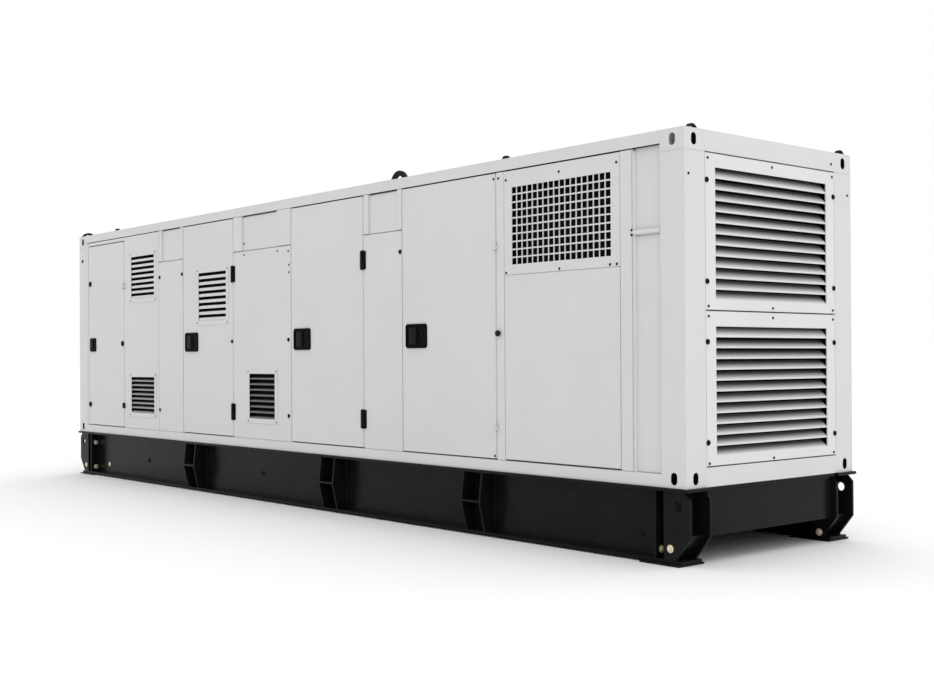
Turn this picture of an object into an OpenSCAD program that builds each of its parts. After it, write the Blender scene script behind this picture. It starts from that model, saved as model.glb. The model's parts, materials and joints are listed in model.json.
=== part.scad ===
// Sound-proofed generator set: a long sheet steel enclosure on a fabricated beam skid.
// Origin on the floor at the middle of the footprint. +X runs to the radiator end, -Y is the door side.

/* [Enclosure] */
// Height of the enclosure's top face above the floor
body_top = 2700; // [2600:10:2900]
// Width across the two side faces
body_w = 1812; // [1760:2:2000]
// Corner post width seen from the side
post_l = 192; // [170:2:220]
// Corner post width seen from the end
post_w = 200; // [180:2:230]
// Depth of the rails and side members behind the side face
frame_d = 100; // [80:2:120]
// Thickness of side panels and doors
panel_t = 50; // [40:1:70]
// Half of the seam line between two neighbouring panels
seam = 3; // [2:0.5:5]
// Depth of the seam line
seam_d = 6; // [4:1:10]
// Height of the top rails along the sides
top_rail_h = 83; // [70:1:110]
// Height of the bottom rails along the sides
bottom_rail_h = 81; // [70:1:110]
// Height of the headers across the ends
header_h = 132; // [120:1:160]
// Height of the sills across the ends
sill_h = 121; // [100:1:150]
// Thickness of the roof panel
roof_t = 35; // [25:1:60]
// How far the roof panel lies below the rails' top
roof_drop = 10; // [5:1:20]
// Gap between the top rails and the plain panels below them
rail_gap = 6; // [4:1:10]

/* [Side bays from the far end to the radiator end] */
// Narrow jamb beside the corner post
jamb_w = 48; // [40:1:70]
// Opening of the first door
door_a_w = 915; // [850:5:980]
// Panel with the two small vents
vent_panel_w = 799; // [770:1:840]
// First wide post
post_1_w = 520; // [480:2:560]
// Opening of the second door
door_b_w = 986; // [940:2:1040]
// Service panel with the low vent
service_panel_w = 990; // [940:5:1040]
// Opening of the third door
door_c_w = 1084; // [1020:2:1140]
// Second wide post
post_2_w = 510; // [470:5:560]
// Opening of the fourth door
door_d_w = 1100; // [1040:5:1160]
// Strip between the fourth door and the radiator bay
strip_w = 86; // [70:2:110]
// Radiator bay with the perforated grille
grille_bay_w = 1102; // [1060:2:1160]
// Strip on the other side of the radiator bay
end_strip_w = 105; // [80:1:130]
// Recessed bay beside the corner post
corner_bay_w = 231; // [190:1:280]

/* [Seams across the side] */
// Height of the upper infill panels
infill_h = 327; // [260:1:420]
// Gap under the infill panels
infill_gap = 5; // [3:1:8]
// How far the infill panels lie behind the side face
infill_back = 12; // [6:1:20]
// Flush strip beside an infill panel, towards the far end
infill_far_strip = 70; // [50:1:110]
// Flush strip beside an infill panel, towards the radiator end
infill_near_strip = 56; // [40:1:90]
// Flush strip beside the service bay's infill panel, towards the far end
service_far_strip = 160; // [110:1:200]
// Flush strip beside the service bay's infill panel, towards the radiator end
service_near_strip = 230; // [180:1:260]
// Height of the upper panel in the recessed corner bay
corner_infill_h = 557; // [420:1:720]
// How far the corner bay lies behind the side face
corner_back = 25; // [12:1:35]
// Height of the strip above the first door
door_a_head_h = 42; // [30:1:60]

/* [Doors] */
// Gap around each door
door_gap = 10; // [8:1:14]
// How far the latches' middle lies below the wall's middle
latch_drop = 128; // [0:1:250]
// Latch width
latch_w = 257; // [220:1:280]
// Latch height
latch_h = 187; // [160:1:220]
// Width and height of the small latch on the first door
small_latch = 150; // [130:1:170]
// Thickness of the latch surround
latch_t = 12; // [8:1:16]
// Corner radius of the latch surround
latch_r = 24; // [15:1:40]
// How far the paddle stands out of its surround
paddle_t = 6; // [4:1:10]
// Distance from the door's free edge to the latch
latch_edge = 42; // [30:1:70]
// Distance from the top rail to the middle of the upper hinges
hinge_upper_drop = 529; // [460:1:620]
// Distance from the bottom rail to the middle of the lower hinges
hinge_lower_rise = 239; // [160:1:340]
// Hinge height
hinge_h = 148; // [120:2:170]
// Height of the small hinges on the first and fourth doors
small_hinge_h = 50; // [40:2:80]
// Width of each hinge leaf
hinge_leaf = 27; // [20:1:36]
// Width of each leaf of the small hinges
small_hinge_leaf = 6; // [4:1:12]
// Thickness of the hinge leaves
hinge_leaf_t = 5; // [3:0.5:6]
// Outer radius of the hinge knuckle
knuckle_r = 12; // [10:0.5:14]
// Radius of the hinge pin
pin_r = 6; // [5:0.5:8]
// Running clearance between the hinge pin and its bore
pin_fit = 0.05; // [0.03:0.01:0.09]
// Clear height between the two halves of a hinge
knuckle_gap = 1; // [0.5:0.5:3]

/* [Side vents] */
// Width of the openings of the vents beside the first door
vent_w = 525; // [480:5:560]
// Distance from the vent panel's middle to the middle of its vents
vent_x = 35; // [-60:1:60]
// Height of the upper vent opening beside the first door
upper_vent_h = 443; // [400:1:460]
// Distance from the top rail to the middle of the upper vent
upper_vent_drop = 455; // [420:1:520]
// Height of the lower vent opening beside the first door
lower_vent_h = 377; // [340:1:420]
// Distance from the bottom rail to the middle of the lower vent
lower_vent_rise = 359; // [320:1:400]
// Width of the service vent opening
service_vent_w = 434; // [400:2:480]
// Height of the service vent opening
service_vent_h = 407; // [380:1:440]
// Distance from the bottom rail to the middle of the service vent
service_vent_rise = 392; // [350:1:430]
// Distance from the service panel's middle to the vent's middle
service_vent_x = 10; // [-60:1:60]
// Distance from the second door's free side to its vent opening
door_vent_free = 324; // [280:1:360]
// Distance from the vent opening to the second door's hinged side
door_vent_hinged = 134; // [110:1:170]
// Clear height between the second door's latch and its vent opening
door_vent_sill = 113; // [70:1:150]
// Distance from the top rail to the second door's vent opening
door_vent_head = 486; // [440:1:540]
// Border of the vents' face plates around the opening
vent_border = 45; // [30:1:60]
// Thickness of the vents' face plates and sleeves
vent_t = 4; // [3:0.5:6]
// Slats in each side vent
vent_slats = 8; // [6:1:10]
// Height of a vent slat's upright lip as a part of the slat spacing
vent_lip_share = 0.3; // [0.2:0.01:0.4]
// Rise of a vent slat's slope as a part of the slat spacing
vent_rise_share = 0.14; // [0.1:0.02:0.3]

/* [Radiator grille] */
// Height of the grille plate
grille_plate_h = 743; // [680:1:820]
// Thickness of the grille plate
grille_t = 6; // [4:1:10]
// Columns of holes
grille_columns = 18; // [10:1:20]
// Rows of holes
grille_rows = 10; // [6:1:11]
// Plain margin of the grille plate beside the holes
grille_side = 80; // [60:1:110]
// Plain margin of the grille plate above the holes
grille_head = 128; // [90:1:150]
// Plain margin of the grille plate below the holes
grille_foot = 71; // [50:1:100]
// Width and height of one hole
grille_hole = 45; // [30:1:48]

/* [End louvres] */
// Height of the upper louvre panels
upper_louvre_h = 990; // [860:2:1120]
// Depth of the louvre panels
louvre_d = 60; // [50:2:80]
// Frame width at the sides of the louvre openings
louvre_side = 101; // [80:1:120]
// Frame height above and below the louvre openings
louvre_edge = 81; // [70:1:100]
// Thickness of the louvre panels' face
louvre_plate_t = 8; // [6:1:12]
// Width of the folded rim behind the edges of a louvre panel
louvre_rim = 25; // [15:1:40]
// Gap above, between and below the louvre panels
louvre_gap = 7; // [4:1:10]
// Slats in each louvre panel
louvre_slats = 12; // [9:1:14]
// Height of a slat's upright lip as a part of the slat spacing
lip_share = 0.22; // [0.15:0.01:0.3]
// Rise of a slat's slope as a part of the slat spacing
rise_share = 0.48; // [0.3:0.02:0.6]
// Thickness of the slats
slat_t = 4; // [3:0.5:6]

/* [Corner castings] */
// Height of the top corner castings
casting_h = 134; // [120:1:150]
// Height of the oval holes
oval_h = 78; // [65:1:90]
// Width of the oval holes
oval_w = 50; // [40:1:60]
// Depth of the oval holes
oval_d = 45; // [30:1:60]
// Height of the lower ovals' middle above the skid
foot_oval_z = 58; // [50:1:70]
// Distance from the post's outer edge to the ovals' middle
oval_edge = 94; // [80:1:105]

/* [Skid] */
// Height of the skid
skid_h = 480; // [440:5:540]
// Thickness of the beams' flanges
flange_t = 20; // [16:1:25]
// Thickness of the beams' webs
web_t = 12; // [10:1:16]
// Width of the beams' lower flange
flange_w = 193; // [180:1:210]
// How far the lower flange lies inside the side face
flange_inset = 13; // [8:1:20]
// How far the skid's top plate stands out of the side face
plate_out = 14; // [13:1:40]
// How far the skid's top plate stands out of the end face
plate_end_out = 22; // [16:1:45]
// Thickness of the foot plates
foot_t = 12; // [8:1:16]
// Length of the foot plates
foot_l = 320; // [280:5:360]
// Width of the foot plates
foot_w = 243; // [220:1:260]
// How far the foot plates stand out of the side face
foot_out = 17; // [10:1:25]
// How far the side beams end inside the end face
beam_end = 46; // [30:1:60]
// How far the plate that closes a beam lies behind the beam's end
end_plate_back = 76; // [60:1:90]
// Height of the end beams
end_beam_h = 292; // [250:2:320]
// Width of the end beams' flanges
end_beam_w = 95; // [80:1:120]
// How far the end beams lie inside the end face
end_beam_back = 30; // [20:1:45]
// Thickness of the stiffener plates
stiffener_t = 16; // [12:1:20]
// How far the stiffeners stand out of the side face
stiffener_out = 34; // [25:1:45]
// Middle height of the stiffeners' widest part
stiffener_mid_z = 250; // [220:2:280]
// Clear width between the two stiffeners of a pair
stiffener_gap = 185; // [150:5:220]
// Place of the first stiffener pair
pair_1_x = -1790; // [-1900:5:-1700]
// Place of the second stiffener pair
pair_2_x = 595; // [500:5:700]
// Place of the third stiffener pair
pair_3_x = 2455; // [2350:5:2550]
// Distance of the single corner stiffeners from the end face
corner_stiffener = 262; // [240:2:300]
// Thickness of the lifting lugs
lug_t = 18; // [14:1:22]
// Length of the lifting lugs
lug_l = 207; // [190:1:225]
// How far the lifting lugs stand out of the end face
lug_out = 16; // [10:1:25]
// Length of the sloping lower corner of a lug
lug_slope_l = 110; // [90:2:130]
// Height of the sloping lower corner of a lug
lug_slope_h = 140; // [110:2:160]
// Size of the cut upper corner of a lug
lug_cut = 46; // [30:2:60]
// Radius of the lifting hole
lug_hole_r = 30; // [24:1:34]
// Distance from the lug's end to the lifting hole
lug_hole_x = 92; // [80:1:110]
// Distance from the lug's top to the lifting hole
lug_hole_drop = 92; // [70:1:120]

/* [Roof eyes] */
// Thickness of the roof eyes
eye_t = 24; // [18:1:30]
// Outer radius of the large roof eyes
eye_r = 100; // [85:1:115]
// How far the middle of a large eye's arc lies below the roof
eye_sink = 30; // [20:1:40]
// Width of the large eyes' arched bar
eye_bar = 40; // [30:1:48]
// Place of the large roof eyes along the roof
eye_x = 1525; // [1400:5:1650]
// Outer radius of the corner eyes at the far end
far_eye_r = 92; // [80:1:100]
// How far the middle of a far eye's arc lies below the roof
far_eye_sink = 40; // [30:1:48]
// Width of the far eyes' arched bar
far_eye_bar = 24; // [16:1:30]
// Outer radius of the corner eyes at the radiator end
near_eye_r = 48; // [42:1:62]
// How far the middle of a near eye's arc lies below the roof
near_eye_sink = 18; // [10:1:24]
// Width of the near eyes' arched bar
near_eye_bar = 14; // [10:1:20]
// Distance of the corner eyes from the end face
corner_eye_x = 25; // [20:1:60]

/* [Hidden] */
$fn = 48;

paint = "gainsboro";
black = [0.12, 0.12, 0.12];
white_face = [0.88, 0.88, 0.88];
overlap = 1;

bays_l = jamb_w + door_a_w + vent_panel_w + post_1_w + door_b_w + service_panel_w + door_c_w + post_2_w
    + door_d_w + strip_w + grille_bay_w + end_strip_w + corner_bay_w;
body_l = bays_l + 2 * post_l;
half_l = body_l / 2;
half_w = body_w / 2;

// Each bay of the side is the pair of places where it starts and ends, and starts where the last one ended
function bay_from(bay) = bay[0];
function bay_to(bay) = bay[1];
function bay_mid(bay) = (bay_from(bay) + bay_to(bay)) / 2;
function next_bay(bay, width) = [bay_to(bay), bay_to(bay) + width];
jamb_bay = [-bays_l / 2, -bays_l / 2 + jamb_w];
door_a_bay = next_bay(jamb_bay, door_a_w);
vent_bay = next_bay(door_a_bay, vent_panel_w);
post_1_bay = next_bay(vent_bay, post_1_w);
door_b_bay = next_bay(post_1_bay, door_b_w);
service_bay = next_bay(door_b_bay, service_panel_w);
door_c_bay = next_bay(service_bay, door_c_w);
post_2_bay = next_bay(door_c_bay, post_2_w);
door_d_bay = next_bay(post_2_bay, door_d_w);
strip_bay = next_bay(door_d_bay, strip_w);
grille_bay = next_bay(strip_bay, grille_bay_w);
end_strip_bay = next_bay(grille_bay, end_strip_w);
corner_bay = next_bay(end_strip_bay, corner_bay_w);

wall_from = skid_h + bottom_rail_h;
wall_to = body_top - top_rail_h;
panel_to = wall_to - rail_gap;
end_from = skid_h + sill_h;
end_to = body_top - header_h;
end_half = half_w - post_w;
beam_low = foot_t + flange_t;
beam_high = skid_h - flange_t;
beam_out = half_w - flange_inset;
beam_in = beam_out - flange_w;
beam_mid = (beam_out + beam_in) / 2;
beam_half_l = half_l - beam_end;
web_half_l = beam_half_l - end_plate_back;
lug_end = half_l + lug_out;
axis_y = -half_w - knuckle_r;

infill_seam_z = wall_to - infill_h;
corner_seam_z = wall_to - corner_infill_h;
latch_z = (wall_from + wall_to) / 2 - latch_drop;
hinge_upper_z = wall_to - hinge_upper_drop;
hinge_lower_z = wall_from + hinge_lower_rise;
upper_vent_z = wall_to - upper_vent_drop;
lower_vent_z = wall_from + lower_vent_rise;
service_vent_z = wall_from + service_vent_rise;
door_vent_w = door_b_w - door_vent_free - door_vent_hinged;
door_vent_x = bay_from(door_b_bay) + door_vent_free + door_vent_w / 2;
door_vent_from = latch_z + latch_h / 2 + door_vent_sill;
door_vent_h = wall_to - door_vent_head - door_vent_from;
door_vent_z = door_vent_from + door_vent_h / 2;
grille_z = wall_to - grille_plate_h;
grille_pitch_x = (grille_bay_w - 2 * grille_side - grille_hole) / (grille_columns - 1);
grille_pitch_z = (grille_plate_h - grille_head - grille_foot - grille_hole) / (grille_rows - 1);
louvre_seam_z = end_to - upper_louvre_h;
lug_hole_z = beam_high - lug_hole_drop;

// A block of the front wall between two places along the side and two heights
module wall_block(x_from, x_to, z_from, z_to, depth, back = 0) {
    translate([x_from, -half_w + back, z_from])
        cube([x_to - x_from, depth, z_to - z_from]);
}

// A folded panel of the front wall: its face stops short of the edges, which leaves the seam lines
module wall_panel(x_from, x_to, z_from, z_to, back = 0) {
    wall_block(x_from + seam, x_to - seam, z_from + seam, z_to - seam, seam_d + overlap, back);
    wall_block(x_from, x_to, z_from, z_to, panel_t - seam_d, back + seam_d);
}

module rear() {
    mirror([0, 1, 0])
        children();
}

// One copy on the front side and its mirror image on the rear side
module both_sides() {
    children();
    rear()
        children();
}

// One copy at the right end and its mirror image at the left end
module both_ends() {
    children();
    mirror([1, 0, 0])
        children();
}

module all_corners() {
    both_ends()
        both_sides()
            children();
}

// Skid

// Flanges with a web between them, whose lower corners follow the lugs' slope
module skid_side_beam() {
    low_x = beam_half_l - lug_slope_l;
    slope_z = beam_low + (web_half_l - low_x) * lug_slope_h / lug_slope_l;
    translate([-beam_half_l, -beam_out, foot_t])
        cube([2 * beam_half_l, flange_w, flange_t]);
    translate([0, -beam_mid + web_t / 2, 0])
        rotate([90, 0, 0])
            linear_extrude(web_t)
                polygon([
                    [-low_x, beam_low - overlap], [low_x, beam_low - overlap], [low_x, beam_low],
                    [web_half_l, slope_z], [web_half_l, beam_high + overlap],
                    [-web_half_l, beam_high + overlap], [-web_half_l, slope_z], [-low_x, beam_low],
                ]);
    translate([-half_l - plate_end_out, -half_w - plate_out, beam_high])
        cube([body_l + 2 * plate_end_out, half_w + plate_out - beam_in, flange_t]);
}

module skid_side_beams() color(black) both_sides() skid_side_beam();

// A channel across the end, open to the inside
module skid_end_beam() {
    low = beam_high - end_beam_h;
    out = half_l - end_beam_back;
    translate([0, beam_in - lug_t, 0])
        rotate([90, 0, 0])
            linear_extrude(2 * (beam_in - lug_t))
                polygon([
                    [out, low], [out, beam_high], [out - end_beam_w, beam_high],
                    [out - end_beam_w, beam_high - web_t], [out - web_t, beam_high - web_t],
                    [out - web_t, low + web_t], [out - end_beam_w, low + web_t],
                    [out - end_beam_w, low],
                ]);
}

module skid_end_beams() color(black) both_ends() skid_end_beam();

// One stiffener plate of a pair, widest at its middle, centred on its place along the beam
module stiffener(x) {
    web_face = beam_mid + web_t / 2;
    widest = half_w + stiffener_out;
    translate([x - stiffener_t / 2, 0, 0])
        rotate([90, 0, 90])
            linear_extrude(stiffener_t)
                polygon([
                    [-web_face, beam_low], [-beam_out, beam_low],
                    [-widest, stiffener_mid_z - flange_t], [-widest, stiffener_mid_z + flange_t],
                    [-half_w - foot_t, beam_high], [-web_face, beam_high],
                ]);
}

// Two stiffeners with a shelf between them
module stiffener_pair(x) {
    web_face = beam_mid + web_t / 2;
    pitch = stiffener_gap + stiffener_t;
    stiffener(x - pitch / 2);
    stiffener(x + pitch / 2);
    translate([x - pitch / 2, -half_w - stiffener_out, stiffener_mid_z - stiffener_t / 2])
        cube([pitch, half_w + stiffener_out - web_face, stiffener_t]);
}

module stiffeners() {
    color(black)
        both_sides() {
            for (x = [pair_1_x, pair_2_x, pair_3_x])
                stiffener_pair(x);
            both_ends()
                translate([half_l - corner_stiffener - stiffener_t / 2, -beam_out, beam_low])
                    cube([stiffener_t, beam_out - beam_mid - web_t / 2, beam_high - beam_low]);
        }
}

// Side profile of a lug, with a sloping lower corner and a cut upper corner
module lug_profile() {
    polygon([
        [lug_end - lug_l, beam_low], [lug_end - lug_slope_l, beam_low],
        [lug_end, beam_low + lug_slope_h], [lug_end, beam_high - lug_cut],
        [lug_end - lug_cut, beam_high], [lug_end - lug_l, beam_high],
    ]);
}

module lifting_lug() {
    difference() {
        translate([0, -beam_out + lug_t, 0])
            rotate([90, 0, 0])
                linear_extrude(lug_t)
                    lug_profile();
        translate([lug_end - lug_hole_x, -beam_out + lug_t + overlap, lug_hole_z])
            rotate([90, 0, 0])
                cylinder(h = lug_t + 2 * overlap, r = lug_hole_r);
    }
}

module lifting_lugs() color(black) all_corners() lifting_lug();

// The plate that closes a beam: upright at the web's end, then out and down along the lugs' slope.
// The inner cheek stands beside it.
module beam_end_plate() {
    bend_z = beam_low + lug_slope_h;
    low_x = beam_half_l - lug_slope_l;
    translate([0, -beam_in + overlap, 0])
        rotate([90, 0, 0])
            linear_extrude(flange_w - lug_t + overlap)
                polygon([
                    [web_half_l + web_t, beam_high], [web_half_l + web_t, bend_z + web_t],
                    [beam_half_l + web_t, bend_z + web_t], [beam_half_l + web_t, bend_z],
                    [low_x + web_t, beam_low], [low_x, beam_low],
                    [beam_half_l, bend_z], [web_half_l, bend_z], [web_half_l, beam_high],
                ]);
    translate([0, -beam_in + lug_t, 0])
        rotate([90, 0, 0])
            linear_extrude(lug_t)
                lug_profile();
}

module beam_end_plates() color(black) all_corners() beam_end_plate();

module foot_plate() {
    translate([beam_half_l - foot_l, -half_w - foot_out, 0])
        cube([foot_l, foot_w, foot_t]);
}

module foot_plates() color(black) all_corners() foot_plate();

module floor_plate() {
    color(black)
        translate([-half_l, -beam_in, beam_high])
            cube([body_l, 2 * beam_in, flange_t]);
}

// Enclosure frame

// An upright oval hole into a face that looks along -Y
module oval(x, y, z) {
    run = (oval_h - oval_w) / 2;
    translate([x, y + oval_d, z])
        rotate([90, 0, 0])
            linear_extrude(oval_d + overlap)
                union() {
                    translate([0, -run])
                        circle(d = oval_w);
                    translate([0, run])
                        circle(d = oval_w);
                    square([oval_w, 2 * run], center = true);
                }
}

// The same oval into the end face
module end_oval(y, z) {
    translate([half_l, y, z])
        rotate([0, 0, 90])
            oval(0, 0, 0);
}

module corner_post() {
    z = skid_h + foot_oval_z;
    difference() {
        translate([half_l - post_l, -half_w, skid_h])
            cube([post_l, post_w, body_top - casting_h - skid_h]);
        oval(half_l - oval_edge, -half_w, z);
        end_oval(-half_w + oval_edge, z);
    }
}

module corner_posts() color(paint) all_corners() corner_post();

module corner_casting() {
    z = body_top - casting_h / 2;
    difference() {
        translate([half_l - post_l, -half_w, body_top - casting_h])
            cube([post_l, post_w, casting_h]);
        oval(half_l - oval_edge, -half_w, z);
        end_oval(-half_w + oval_edge, z);
    }
}

module corner_castings() color(paint) all_corners() corner_casting();

module top_rails() {
    color(paint)
        both_sides()
            wall_block(-bays_l / 2, bays_l / 2, wall_to, body_top, frame_d);
}

module bottom_rails() {
    color(paint)
        both_sides()
            wall_block(-bays_l / 2, bays_l / 2, skid_h, wall_from, frame_d);
}

module end_headers() {
    color(paint)
        both_ends()
            translate([half_l - frame_d, -end_half, end_to])
                cube([frame_d, 2 * end_half, header_h]);
}

module end_sills() {
    color(paint)
        both_ends()
            translate([half_l - frame_d, -end_half, skid_h])
                cube([frame_d, 2 * end_half, sill_h]);
}

module roof_panel() {
    color(paint)
        difference() {
            translate([-half_l + frame_d, -half_w + frame_d, body_top - roof_drop - roof_t])
                cube([body_l - 2 * frame_d, body_w - 2 * frame_d, roof_t]);
            all_corners()
                translate([half_l - post_l, -half_w, skid_h])
                    cube([post_l, post_w, body_top]);
        }
}

// A low arched eye standing on the roof, lengthways, centred on the origin
module eye(radius, sink, bar) {
    translate([0, eye_t / 2, 0])
        rotate([90, 0, 0])
            linear_extrude(eye_t)
                intersection() {
                    translate([0, -sink])
                        difference() {
                            circle(radius);
                            circle(radius - bar);
                        }
                    translate([-radius, 0])
                        square([2 * radius, radius]);
                }
}

// The place of a corner eye at the radiator end, set crosswise
module at_corner() {
    translate([half_l - corner_eye_x, -half_w + post_w / 2, body_top])
        rotate([0, 0, 90])
            children();
}

module roof_eyes() {
    color(black)
        both_sides() {
            translate([eye_x, -half_w + frame_d / 2, body_top])
                eye(eye_r, eye_sink, eye_bar);
            at_corner()
                eye(near_eye_r, near_eye_sink, near_eye_bar);
            mirror([1, 0, 0])
                at_corner()
                    eye(far_eye_r, far_eye_sink, far_eye_bar);
        }
}

// Side walls

module side_posts() {
    color(paint)
        both_sides() {
            for (bay = [jamb_bay, strip_bay, end_strip_bay])
                wall_panel(bay_from(bay), bay_to(bay), wall_from, panel_to);
            for (bay = [post_1_bay, post_2_bay])
                wall_panel(bay_from(bay), bay_to(bay), wall_from, infill_seam_z);
        }
}

// The upper end of a bay: a panel pressed back between two flush strips, with a slot under the top rail
module infill(bay, far_strip, near_strip) {
    from = bay_from(bay) + far_strip;
    to = bay_to(bay) - near_strip;
    difference() {
        wall_panel(bay_from(bay), bay_to(bay), infill_seam_z + infill_gap, wall_to);
        wall_block(from, to, infill_seam_z, wall_to + overlap, infill_back + overlap, -overlap);
        wall_block(from, to, wall_to - infill_back, wall_to + overlap, panel_t - infill_back, 0);
    }
}

module infill_panels() {
    color(paint)
        both_sides() {
            infill(post_1_bay, infill_far_strip, infill_near_strip);
            infill(service_bay, service_far_strip, service_near_strip);
            infill(post_2_bay, infill_far_strip, infill_near_strip);
            wall_panel(bay_from(door_a_bay), bay_to(door_a_bay), wall_to - door_a_head_h, panel_to);
        }
}

// A clear cut through a wall panel for a vent's sleeve
module vent_cut(x, z, w, h) {
    translate([x - w / 2 - vent_t, -half_w - overlap, z - h / 2 - vent_t])
        cube([w + 2 * vent_t, panel_t + 2 * overlap, h + 2 * vent_t]);
}

module vent_panel_wall() {
    difference() {
        wall_panel(bay_from(vent_bay), bay_to(vent_bay), wall_from, panel_to);
        vent_cut(bay_mid(vent_bay) + vent_x, upper_vent_z, vent_w, upper_vent_h);
        vent_cut(bay_mid(vent_bay) + vent_x, lower_vent_z, vent_w, lower_vent_h);
    }
}

module vent_panel() color(paint) vent_panel_wall();

module service_panel_wall() {
    difference() {
        wall_panel(bay_from(service_bay), bay_to(service_bay), wall_from, infill_seam_z);
        vent_cut(bay_mid(service_bay) + service_vent_x, service_vent_z, service_vent_w, service_vent_h);
    }
}

module service_panel() color(paint) service_panel_wall();

module radiator_panel_wall() {
    wall_panel(bay_from(grille_bay), bay_to(grille_bay), wall_from + door_gap, grille_z);
}

module radiator_panel() color(paint) radiator_panel_wall();

module corner_panel() {
    wall_panel(bay_from(corner_bay), bay_to(corner_bay), wall_from, corner_seam_z, corner_back);
    wall_panel(bay_from(corner_bay), bay_to(corner_bay), corner_seam_z, wall_to, corner_back);
}

module front_corner_panel() color(paint) corner_panel();

// The perforated plate in front of the radiator
module radiator_grille() {
    translate([bay_mid(grille_bay), -half_w + grille_t, 0])
        rotate([90, 0, 0])
            linear_extrude(grille_t)
                difference() {
                    translate([-grille_bay_w / 2, grille_z])
                        square([grille_bay_w, grille_plate_h - door_gap]);
                    for (column = [0 : grille_columns - 1], row = [0 : grille_rows - 1])
                        translate([
                            -grille_bay_w / 2 + grille_side + column * grille_pitch_x,
                            grille_z + grille_foot + row * grille_pitch_z,
                        ])
                            square(grille_hole);
                }
}

module radiator_grilles() color(paint) both_sides() radiator_grille();

// Bent slats across an opening w wide and h high that looks along -Y, centred on the origin
module slats(w, h, count, depth, lip_part, rise_part) {
    pitch = h / count;
    lip = pitch * lip_part;
    rise = pitch * rise_part;
    for (i = [0 : count - 1])
        translate([-w / 2, 0, -h / 2 + i * pitch])
            rotate([90, 0, 90])
                linear_extrude(w)
                    polygon([
                        [0, 0], [slat_t, 0], [slat_t, lip - slat_t], [depth, lip + rise - slat_t],
                        [depth, lip + rise], [0, lip],
                    ]);
}

// A louvred vent: face plate on the panel, sleeve through it and bent slats
module vent(x, z, w, h) {
    plate_w = w + 2 * vent_border;
    plate_h = h + 2 * vent_border;
    translate([x, -half_w, z]) {
        difference() {
            union() {
                translate([-plate_w / 2, -vent_t, -plate_h / 2])
                    cube([plate_w, vent_t, plate_h]);
                translate([-w / 2 - vent_t, -vent_t, -h / 2 - vent_t])
                    cube([w + 2 * vent_t, panel_t + vent_t, h + 2 * vent_t]);
            }
            translate([-w / 2, -vent_t - overlap, -h / 2])
                cube([w, panel_t + vent_t + 2 * overlap, h]);
        }
        slats(w + 2 * overlap, h, vent_slats, panel_t - vent_t, vent_lip_share, vent_rise_share);
    }
}

module wall_vents() {
    color(paint) {
        vent(bay_mid(vent_bay) + vent_x, upper_vent_z, vent_w, upper_vent_h);
        vent(bay_mid(vent_bay) + vent_x, lower_vent_z, vent_w, lower_vent_h);
        vent(bay_mid(service_bay) + service_vent_x, service_vent_z, service_vent_w, service_vent_h);
    }
}

module front_vents() wall_vents();

// Doors, named by their bays

// A flat door in the front wall with its gap all round
module door_slab(bay, head = 0) {
    wall_block(bay_from(bay) + door_gap, bay_to(bay) - door_gap, wall_from + door_gap,
        wall_to - head - door_gap, panel_t);
}

module door_b_slab() {
    difference() {
        door_slab(door_b_bay);
        vent_cut(door_vent_x, door_vent_z, door_vent_w, door_vent_h);
    }
}

module door_b_louvre() vent(door_vent_x, door_vent_z, door_vent_w, door_vent_h);

// A plate with round corners, standing on the face of the door
module rounded_plate(w, h, radius, thickness) {
    rotate([90, 0, 0])
        linear_extrude(thickness)
            union() {
                square([w - 2 * radius, h], center = true);
                square([w, h - 2 * radius], center = true);
                for (x = [-1, 1], z = [-1, 1])
                    translate([x * (w / 2 - radius), z * (h / 2 - radius)])
                        circle(radius);
            }
}

// A paddle latch near the free edge of a door
module latch(bay, w, h) {
    x = bay_from(bay) + door_gap + latch_edge + w / 2;
    paddle_w = w / 2;
    translate([x, -half_w, latch_z])
        rounded_plate(w, h, latch_r, latch_t);
    translate([x - paddle_w / 4, -half_w - latch_t + overlap, latch_z])
        rounded_plate(paddle_w, h - 2 * latch_r, latch_r / 2, paddle_t + overlap);
}

function hinge_x(bay) = bay_to(bay) - door_gap / 2;

// The door's half of a lift-off hinge: a leaf on the door and the upper knuckle with its bore
module door_hinge(bay, z, h, leaf) {
    half_h = h / 2 - knuckle_gap / 2;
    translate([hinge_x(bay), axis_y, z + knuckle_gap / 2])
        difference() {
            union() {
                cylinder(h = half_h, r = knuckle_r);
                translate([-leaf - knuckle_r, knuckle_r - hinge_leaf_t, half_h - h])
                    cube([leaf, hinge_leaf_t, h]);
                translate([-2 * knuckle_r, 0, 0])
                    cube([2 * knuckle_r - door_gap / 2, knuckle_r, half_h]);
            }
            translate([0, 0, -overlap])
                cylinder(h = half_h - knuckle_r / 2, r = pin_r + pin_fit);
        }
}

// The post's half: a leaf on the post, the lower knuckle and the pin that stands on it
module frame_hinge(bay, z, h, leaf) {
    half_h = h / 2 - knuckle_gap / 2;
    translate([hinge_x(bay), axis_y, z - h / 2]) {
        cylinder(h = half_h, r = knuckle_r);
        cylinder(h = h - knuckle_r - overlap, r = pin_r);
        translate([door_gap / 2, 0, 0])
            cube([2 * knuckle_r - door_gap / 2, knuckle_r, half_h]);
        translate([knuckle_r, knuckle_r - hinge_leaf_t, 0])
            cube([leaf, hinge_leaf_t, h]);
    }
}

module frame_hinges() {
    for (z = [hinge_lower_z, hinge_upper_z]) {
        for (bay = [door_a_bay, door_d_bay])
            frame_hinge(bay, z, small_hinge_h, small_hinge_leaf);
        for (bay = [door_b_bay, door_c_bay])
            frame_hinge(bay, z, hinge_h, hinge_leaf);
    }
}

module door_hinges(bay, h, leaf) {
    for (z = [hinge_lower_z, hinge_upper_z])
        door_hinge(bay, z, h, leaf);
}

module door_frame_hinges() color(black) frame_hinges();

module door_a_leaf() color(paint) door_slab(door_a_bay, door_a_head_h);

module door_a_latch() color(black) latch(door_a_bay, small_latch, small_latch);

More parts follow.
